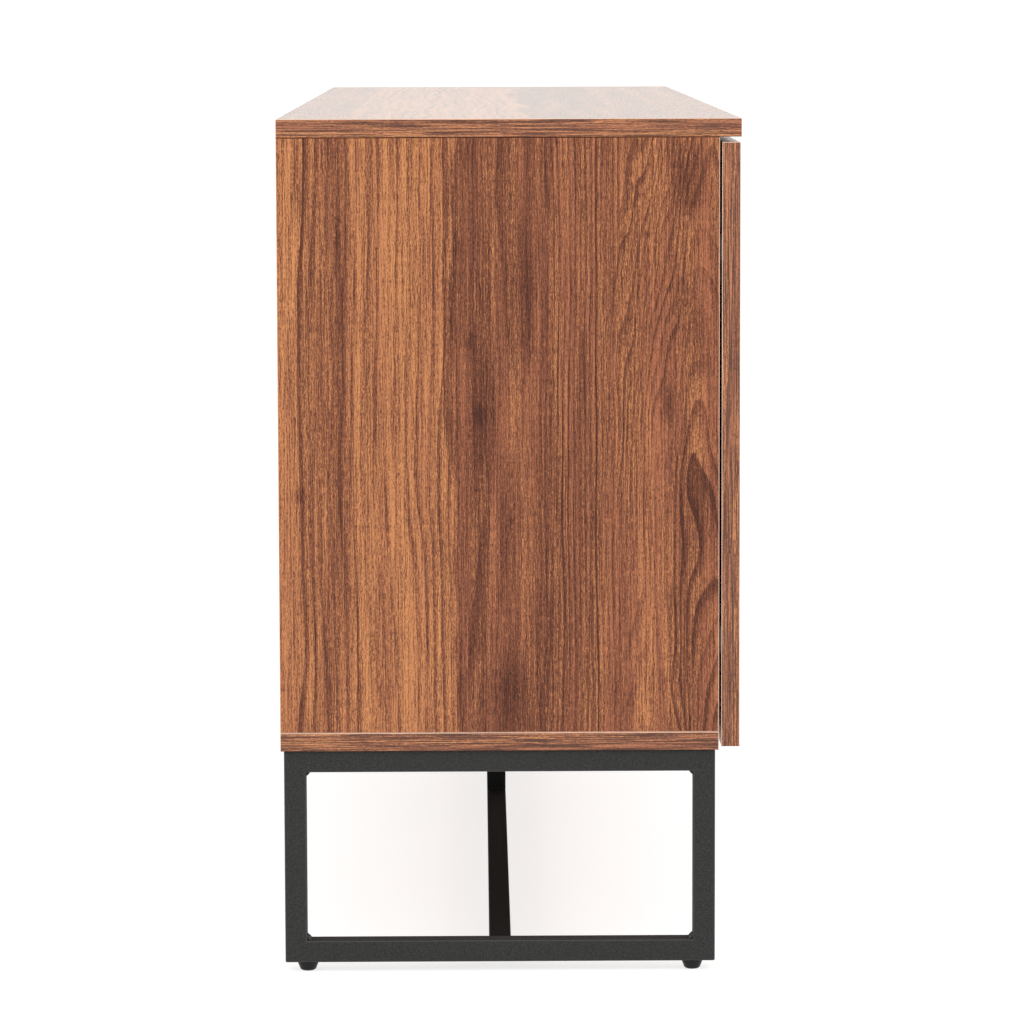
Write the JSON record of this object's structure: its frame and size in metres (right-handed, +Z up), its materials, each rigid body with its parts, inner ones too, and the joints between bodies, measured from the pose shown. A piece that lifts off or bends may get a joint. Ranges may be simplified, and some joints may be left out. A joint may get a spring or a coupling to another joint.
{
  "type": "credenza",
  "caption": "Low walnut-effect storage cabinet with plain push-open overlay doors, adjustable shelves and a black square-tube base with end frames, stretcher, post and levelling feet.",
  "frame": {"origin": "centre of the footprint on the floor", "axes": "+X along the length, the doors face -Y, +Z up"},
  "size_m": [1.4, 0.4, 0.743],
  "materials": {
    "walnut_laminate": "satin printed walnut laminate with matching edge band",
    "back_board": "thin fibreboard, printed face",
    "black_powder_coat": "fine-textured black powder coat",
    "nickel_steel": "nickel-plated pressed steel",
    "zinc_alloy": "zinc-plated fasteners",
    "brass_insert": "plain turned brass",
    "beech_dowel": "bare fluted beech",
    "grey_plastic": "moulded plastic",
    "black_plastic": "moulded plastic"
  },
  "bodies": {
    "cabinet": {"top_panel": "walnut_laminate", "bottom_panel": "walnut_laminate", "left_side_panel": "walnut_laminate", "right_side_panel": "walnut_laminate", "centre_partition": "walnut_laminate", "left_shelf": "walnut_laminate", "right_shelf": "walnut_laminate", "back_panel": "back_board", "shelf_pins": "nickel_steel", "straight_hinge_arms": "nickel_steel", "cranked_hinge_arms": "nickel_steel", "hinge_mount_plates": "nickel_steel", "hinge_mount_screws": "nickel_steel", "cam_locks": "zinc_alloy", "cam_bolts": "zinc_alloy", "back_screws": "zinc_alloy", "frame_screws": "zinc_alloy", "plate_screws": "zinc_alloy", "stretcher_screws": "zinc_alloy", "foot_nuts": "zinc_alloy", "latch_screws": "zinc_alloy", "frame_inserts": "brass_insert", "dowels": "beech_dowel", "left_end_frame": "black_powder_coat", "right_end_frame": "black_powder_coat", "stretcher": "black_powder_coat", "centre_post": "black_powder_coat", "latch_housings": "grey_plastic"},
    "links_1": {"hinge_links_1": "nickel_steel"},
    "door_1": {"door_1": "walnut_laminate", "hinge_cups_1": "nickel_steel", "strike_1": "nickel_steel"},
    "links_2": {"hinge_links_2": "nickel_steel"},
    "door_2": {"door_2": "walnut_laminate", "hinge_cups_2": "nickel_steel", "strike_2": "nickel_steel"},
    "links_3": {"hinge_links_3": "nickel_steel"},
    "door_3": {"door_3": "walnut_laminate", "hinge_cups_3": "nickel_steel", "strike_3": "nickel_steel"},
    "links_4": {"hinge_links_4": "nickel_steel"},
    "door_4": {"door_4": "walnut_laminate", "hinge_cups_4": "nickel_steel", "strike_4": "nickel_steel"},
    "plunger_1": {"plunger_1": "grey_plastic"},
    "plunger_2": {"plunger_2": "grey_plastic"},
    "plunger_3": {"plunger_3": "grey_plastic"},
    "plunger_4": {"plunger_4": "grey_plastic"},
    "foot_left_front": {"foot_pad_left_front": "black_plastic", "foot_stud_left_front": "zinc_alloy"},
    "foot_left_back": {"foot_pad_left_back": "black_plastic", "foot_stud_left_back": "zinc_alloy"},
    "foot_right_front": {"foot_pad_right_front": "black_plastic", "foot_stud_right_front": "zinc_alloy"},
    "foot_right_back": {"foot_pad_right_back": "black_plastic", "foot_stud_right_back": "zinc_alloy"},
    "foot_centre": {"foot_pad_centre": "black_plastic", "foot_stud_centre": "zinc_alloy"}
  },
  "joints": [
    {"name": "door_1_turn", "type": "hinge", "parent": "links_1", "child": "door_1", "pos_m": [-0.688, -0.186, 0.46025], "axis": [0, 0, -1], "range_deg": [0, 143.08]},
    {"name": "links_1_turn", "type": "hinge", "parent": "cabinet", "child": "links_1", "pos_m": [-0.6675, -0.171, 0.46025], "axis": [0, 0, -1], "range_deg": [-45.1, 0]},
    {"name": "door_2_turn", "type": "hinge", "parent": "links_2", "child": "door_2", "pos_m": [-0.013, -0.186, 0.46025], "axis": [0, 0, 1], "range_deg": [0, 125.56]},
    {"name": "links_2_turn", "type": "hinge", "parent": "cabinet", "child": "links_2", "pos_m": [-0.0335, -0.171, 0.46025], "axis": [0, 0, 1], "range_deg": [-39.58, 0]},
    {"name": "door_3_turn", "type": "hinge", "parent": "links_3", "child": "door_3", "pos_m": [0.013, -0.186, 0.46025], "axis": [0, 0, -1], "range_deg": [0, 125.56]},
    {"name": "links_3_turn", "type": "hinge", "parent": "cabinet", "child": "links_3", "pos_m": [0.0335, -0.171, 0.46025], "axis": [0, 0, -1], "range_deg": [-39.58, 0]},
    {"name": "door_4_turn", "type": "hinge", "parent": "links_4", "child": "door_4", "pos_m": [0.688, -0.186, 0.46025], "axis": [0, 0, 1], "range_deg": [0, 143.08]},
    {"name": "links_4_turn", "type": "hinge", "parent": "cabinet", "child": "links_4", "pos_m": [0.6675, -0.171, 0.46025], "axis": [0, 0, 1], "range_deg": [-45.1, 0]},
    {"name": "plunger_1_press", "type": "slide", "parent": "cabinet", "child": "plunger_1", "axis": [0, 1, 0], "range_m": [0, 0.003], "stiffness_N_per_m": 400, "springref_m": -0.002},
    {"name": "plunger_2_press", "type": "slide", "parent": "cabinet", "child": "plunger_2", "axis": [0, 1, 0], "range_m": [0, 0.003], "stiffness_N_per_m": 400, "springref_m": -0.002},
    {"name": "plunger_3_press", "type": "slide", "parent": "cabinet", "child": "plunger_3", "axis": [0, 1, 0], "range_m": [0, 0.003], "stiffness_N_per_m": 400, "springref_m": -0.002},
    {"name": "plunger_4_press", "type": "slide", "parent": "cabinet", "child": "plunger_4", "axis": [0, 1, 0], "range_m": [0, 0.003], "stiffness_N_per_m": 400, "springref_m": -0.002},
    {"name": "foot_left_front_adjust", "type": "slide", "parent": "cabinet", "child": "foot_left_front", "axis": [0, 0, -1], "range_m": [0, 0.008]},
    {"name": "foot_left_back_adjust", "type": "slide", "parent": "cabinet", "child": "foot_left_back", "axis": [0, 0, -1], "range_m": [0, 0.008]},
    {"name": "foot_right_front_adjust", "type": "slide", "parent": "cabinet", "child": "foot_right_front", "axis": [0, 0, -1], "range_m": [0, 0.008]},
    {"name": "foot_right_back_adjust", "type": "slide", "parent": "cabinet", "child": "foot_right_back", "axis": [0, 0, -1], "range_m": [0, 0.008]},
    {"name": "foot_centre_adjust", "type": "slide", "parent": "cabinet", "child": "foot_centre", "axis": [0, 0, -1], "range_m": [0, 0.008]}
  ],
  "couplings": [
    {"joint": "links_1_turn", "follows": "door_1_turn", "ratio": -0.31507},
    {"joint": "links_2_turn", "follows": "door_2_turn", "ratio": -0.31507},
    {"joint": "links_3_turn", "follows": "door_3_turn", "ratio": -0.31507},
    {"joint": "links_4_turn", "follows": "door_4_turn", "ratio": -0.31507}
  ]
}
